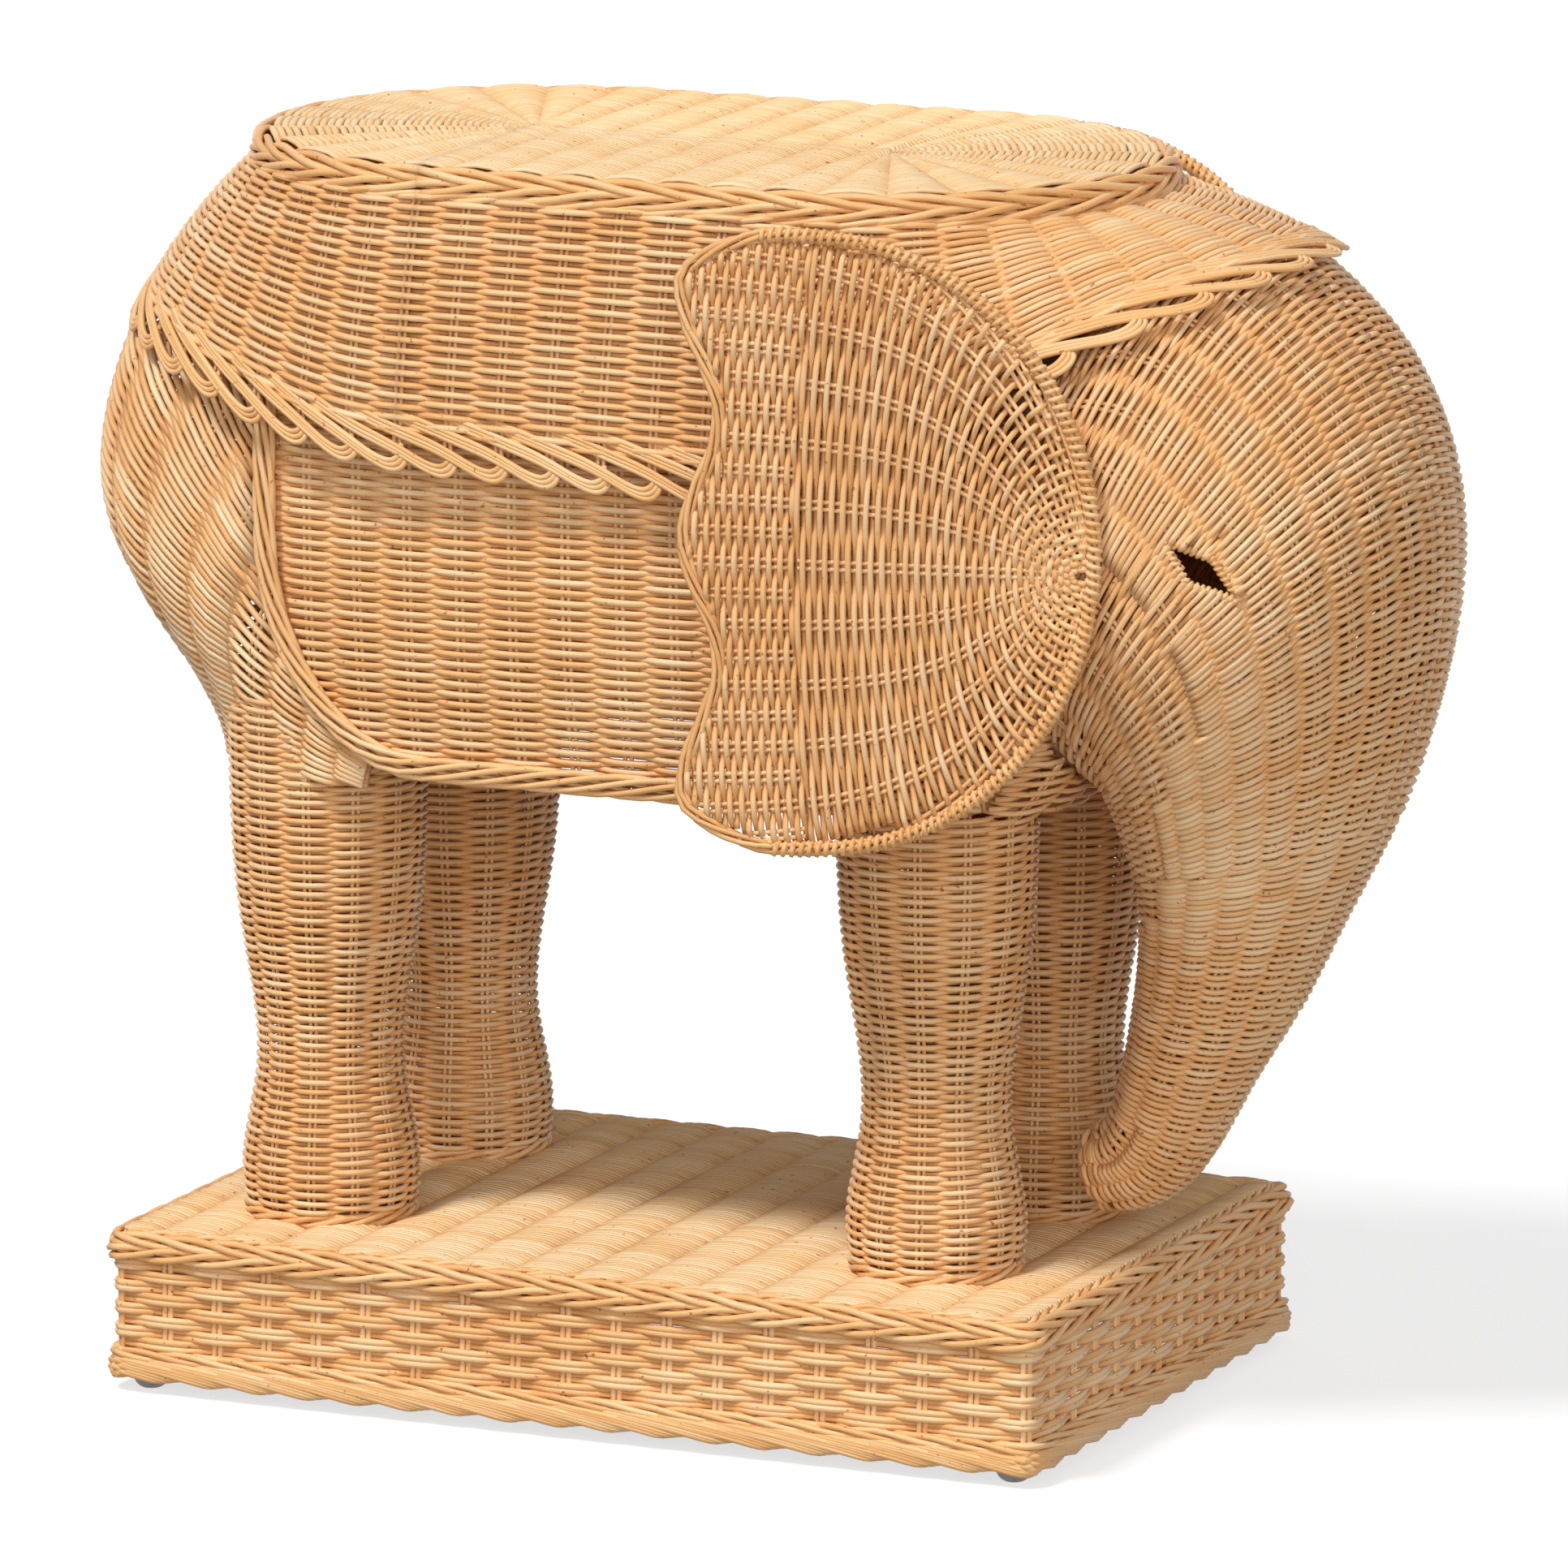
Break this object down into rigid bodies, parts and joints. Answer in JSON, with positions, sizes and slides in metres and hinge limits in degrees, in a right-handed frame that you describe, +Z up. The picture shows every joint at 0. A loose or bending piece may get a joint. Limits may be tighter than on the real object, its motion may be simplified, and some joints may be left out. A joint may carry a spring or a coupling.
{
  "type": "side table",
  "caption": "Woven rattan side table shaped as a standing elephant, with a flat oval top on a saddle cloth, scalloped ears, a curled trunk and a woven rectangular plinth.",
  "frame": {"origin": "on the floor, below the middle of the overall length and width", "axes": "+X towards the elephant's head, +Y to its left, +Z up"},
  "size_m": [0.5888, 0.3272, 0.521],
  "materials": {
    "rattan_weave": "woven natural rattan core, thin satin lacquer",
    "rattan_top": "tightly woven pale rattan core, thin satin lacquer",
    "rattan_border": "braided and twisted rattan core, thin satin lacquer",
    "rattan_pole": "peeled rattan pole, unfinished",
    "steel": "plain wire nails and screws",
    "glide": "moulded grey glide"
  },
  "bodies": {
    "root": {"body_rib_front": "rattan_pole", "body_rib_rear": "rattan_pole", "chest_panel": "rattan_weave", "ear_left": "rattan_weave", "ear_right": "rattan_weave", "ear_rim_left": "rattan_border", "ear_rim_right": "rattan_border", "flank_border_left": "rattan_border", "flank_border_right": "rattan_border", "flank_panel_left": "rattan_weave", "flank_panel_right": "rattan_weave", "foot_glides": "glide", "foot_hoops": "rattan_pole", "glide_nails": "steel", "head_and_trunk": "rattan_weave", "leg_pole_front_left": "rattan_pole", "leg_pole_front_right": "rattan_pole", "leg_pole_hind_left": "rattan_pole", "leg_pole_hind_right": "rattan_pole", "leg_weave_front_left": "rattan_weave", "leg_weave_front_right": "rattan_weave", "leg_weave_hind_left": "rattan_weave", "leg_weave_hind_right": "rattan_weave", "neck_bars": "rattan_pole", "neck_hoop": "rattan_pole", "plinth_bar_front": "rattan_pole", "plinth_bar_middle": "rattan_pole", "plinth_bar_rear": "rattan_pole", "plinth_bottom_border": "rattan_border", "plinth_bottom_rail_front": "rattan_pole", "plinth_bottom_rail_left": "rattan_pole", "plinth_bottom_rail_rear": "rattan_pole", "plinth_bottom_rail_right": "rattan_pole", "plinth_nails": "steel", "plinth_post_front_left": "rattan_pole", "plinth_post_front_right": "rattan_pole", "plinth_post_rear_left": "rattan_pole", "plinth_post_rear_right": "rattan_pole", "plinth_side_front": "rattan_weave", "plinth_side_left": "rattan_weave", "plinth_side_rear": "rattan_weave", "plinth_side_right": "rattan_weave", "plinth_top_border": "rattan_border", "plinth_top_panel": "rattan_top", "plinth_top_rail_front": "rattan_pole", "plinth_top_rail_left": "rattan_pole", "plinth_top_rail_rear": "rattan_pole", "plinth_top_rail_right": "rattan_pole", "pole_screws": "steel", "rump_panel": "rattan_weave", "saddle_hem": "rattan_border", "saddle_skirt": "rattan_weave", "table_bar_front": "rattan_pole", "table_bar_middle": "rattan_pole", "table_bar_rear": "rattan_pole", "table_border": "rattan_border", "table_hoop": "rattan_pole", "table_nails": "steel", "table_top": "rattan_top"}
  },
  "joints": []
}
